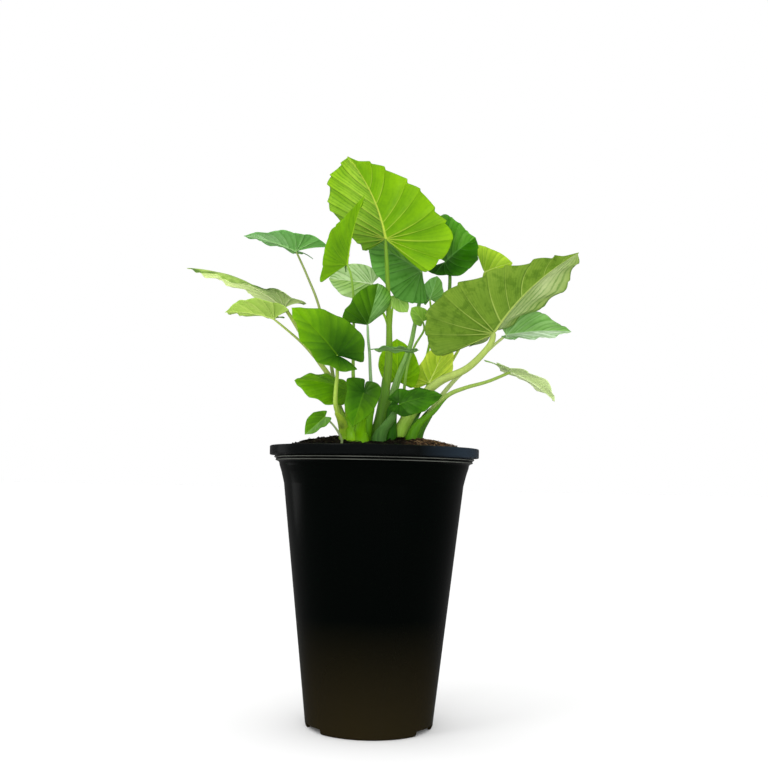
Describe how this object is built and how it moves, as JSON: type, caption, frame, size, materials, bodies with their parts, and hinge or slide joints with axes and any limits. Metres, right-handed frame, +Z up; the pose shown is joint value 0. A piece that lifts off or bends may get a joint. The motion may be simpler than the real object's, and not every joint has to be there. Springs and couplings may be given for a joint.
{
  "type": "potted alocasia",
  "caption": "Leafy alocasia with arrow-shaped, wavy blades on long stalks, growing from heaped soil in a tall tapered black nursery pot.",
  "frame": {"origin": "on the ground plane, on the pot's own axis: the middle of the flat dish in the pot's floor", "axes": "+Z up along the pot's axis, -Y toward the side that faces the viewer of the picture, +X to that viewer's right"},
  "size_m": [0.4731, 0.25, 0.6872],
  "materials": {
    "pot_black": "smooth black moulded plastic, semi-gloss",
    "soil_brown": "loose dark brown potting soil with bark and coir fibres, matte",
    "leaf_yellow_green": "thin waxy leaf, satin, with raised veins on the underside",
    "leaf_green": "thin waxy leaf, satin, with raised veins on the underside",
    "leaf_dark_green": "thin waxy leaf, satin, with raised veins on the underside",
    "leaf_blue_green": "thin waxy leaf, satin, with raised veins on the underside",
    "leaf_pale_green": "thin waxy leaf, satin, with raised veins on the underside",
    "stalk_green": "smooth fleshy stalk, satin",
    "stalk_pale_green": "smooth fleshy stalk, satin"
  },
  "bodies": {
    "root": {"pot": "pot_black", "soil": "soil_brown", "leaf_a_blade": "leaf_yellow_green", "leaf_a_stalk": "stalk_green", "leaf_b_blade": "leaf_green", "leaf_b_stalk": "stalk_green", "leaf_c_blade": "leaf_blue_green", "leaf_c_stalk": "stalk_green", "leaf_d_blade": "leaf_yellow_green", "leaf_d_stalk": "stalk_green", "leaf_e_blade": "leaf_yellow_green", "leaf_e_stalk": "stalk_green", "leaf_f_blade": "leaf_green", "leaf_f_stalk": "stalk_green", "leaf_g_blade": "leaf_dark_green", "leaf_g_stalk": "stalk_green", "leaf_h_blade": "leaf_dark_green", "leaf_h_stalk": "stalk_green", "leaf_i_blade": "leaf_blue_green", "leaf_i_stalk": "stalk_pale_green", "leaf_j_blade": "leaf_pale_green", "leaf_j_stalk": "stalk_pale_green", "leaf_k_blade": "leaf_blue_green", "leaf_k_stalk": "stalk_green", "leaf_l_blade": "leaf_yellow_green", "leaf_l_stalk": "stalk_green", "leaf_m_blade": "leaf_pale_green", "leaf_m_stalk": "stalk_pale_green", "leaf_n_blade": "leaf_dark_green", "leaf_n_stalk": "stalk_green", "leaf_o_blade": "leaf_green", "leaf_o_stalk": "stalk_green", "leaf_p_blade": "leaf_green", "leaf_p_stalk": "stalk_green", "leaf_q_blade": "leaf_dark_green", "leaf_q_stalk": "stalk_green", "leaf_r_blade": "leaf_green", "leaf_r_stalk": "stalk_green", "leaf_s_blade": "leaf_yellow_green", "leaf_s_stalk": "stalk_green", "leaf_t_blade": "leaf_blue_green", "leaf_t_stalk": "stalk_green", "leaf_u_blade": "leaf_pale_green", "leaf_u_stalk": "stalk_green", "leaf_v_blade": "leaf_green", "leaf_v_stalk": "stalk_green", "leaf_w_blade": "leaf_blue_green", "leaf_w_stalk": "stalk_green", "leaf_x_blade": "leaf_green", "leaf_x_stalk": "stalk_green"}
  },
  "joints": []
}
